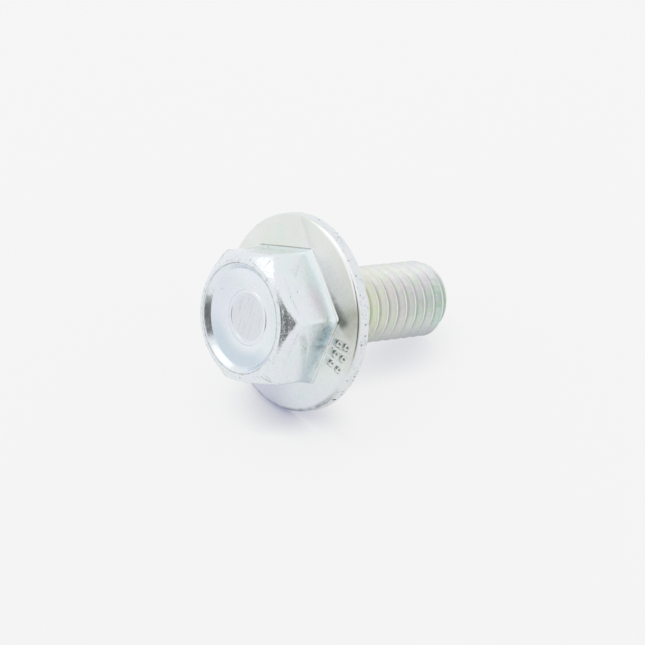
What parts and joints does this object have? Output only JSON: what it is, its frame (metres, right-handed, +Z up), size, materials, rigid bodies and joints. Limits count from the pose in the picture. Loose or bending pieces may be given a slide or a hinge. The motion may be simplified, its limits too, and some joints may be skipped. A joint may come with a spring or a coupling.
{
  "type": "hexagon flange bolt",
  "caption": "Short hexagon flange bolt with a dished head, a wide conical flange and a coarse metric thread, in bright zinc plated steel, lying at rest.",
  "frame": {"origin": "bottom centre of the bounding box, on the surface that the bolt lies on", "axes": "+Z up; the bolt's axis lies in the XZ plane with the thread towards +X and the head raised by 20 degrees towards -X"},
  "size_m": [0.0206, 0.0152, 0.0145],
  "materials": {
    "zinc_plate": "bright zinc plating with a faint blue, green and pink passivation sheen, rolled thread"
  },
  "bodies": {
    "root": {"flange_bolt": "zinc_plate"}
  },
  "joints": []
}
